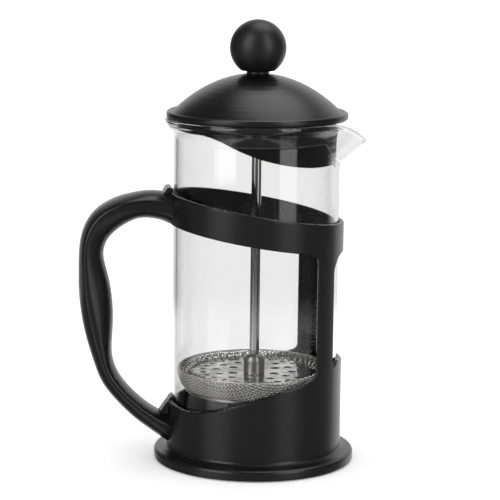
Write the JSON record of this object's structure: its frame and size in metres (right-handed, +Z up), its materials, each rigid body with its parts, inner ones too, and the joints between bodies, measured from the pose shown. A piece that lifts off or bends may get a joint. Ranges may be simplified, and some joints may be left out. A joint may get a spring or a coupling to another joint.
{
  "type": "french press",
  "caption": "Small plunger coffee maker: glass beaker with spout in a moulded frame with side handle, domed lid with strainer skirt, and rod with ball knob and wire-mesh filter.",
  "frame": {"origin": "centre of the foot ring, on the surface it stands on", "axes": "+Z up along the axis of beaker and plunger, +X towards the pouring spout, -X towards the handle"},
  "size_m": [0.1212, 0.0854, 0.1874],
  "materials": {
    "frame_plastic": "satin black moulded polypropylene",
    "handle_plastic": "satin black moulded polypropylene",
    "lid_plastic": "satin black moulded polypropylene",
    "strainer_plastic": "smooth black moulded polypropylene",
    "bushing_plastic": "black acetal",
    "knob_plastic": "fine matte black phenolic",
    "beaker_glass": "clear fire-polished borosilicate glass",
    "rod_steel": "polished stainless steel",
    "hub_steel": "polished stainless steel",
    "disc_steel": "bright pressed stainless steel",
    "spring_wire": "bright spring wire",
    "mesh_wire": "woven stainless steel wire cloth",
    "plate_steel": "pressed stainless steel",
    "screw_steel": "plain stainless steel",
    "insert_brass": "turned brass"
  },
  "bodies": {
    "stand": {"frame": "frame_plastic", "handle": "handle_plastic", "upper_handle_screw": "screw_steel", "lower_handle_screw": "screw_steel", "upper_handle_insert": "insert_brass", "lower_handle_insert": "insert_brass"},
    "beaker": {"beaker": "beaker_glass"},
    "lid_guide": {"lid_bushing": "bushing_plastic"},
    "lid": {"lid_cover": "lid_plastic", "lid_strainer": "strainer_plastic"},
    "plunger": {"knob": "knob_plastic", "knob_insert": "insert_brass", "plunger_rod": "rod_steel", "filter_hub": "hub_steel", "spring_disc": "disc_steel", "edge_spring": "spring_wire", "mesh_screen": "mesh_wire", "cross_plate": "plate_steel", "clamp_nut": "screw_steel"}
  },
  "joints": [
    {"name": "beaker_lift", "type": "slide", "parent": "stand", "child": "beaker", "axis": [0, 0, 1], "range_m": [0, 0.118]},
    {"name": "lid_lift", "type": "slide", "parent": "beaker", "child": "lid_guide", "axis": [0, 0, 1], "range_m": [0, 0.128]},
    {"name": "lid_turn", "type": "hinge", "parent": "lid_guide", "child": "lid", "pos_m": [0, 0, 0.146], "axis": [0, 0, 1], "continuous": true},
    {"name": "plunger_slide", "type": "slide", "parent": "lid_guide", "child": "plunger", "axis": [0, 0, 1], "range_m": [0, 0.086]}
  ]
}
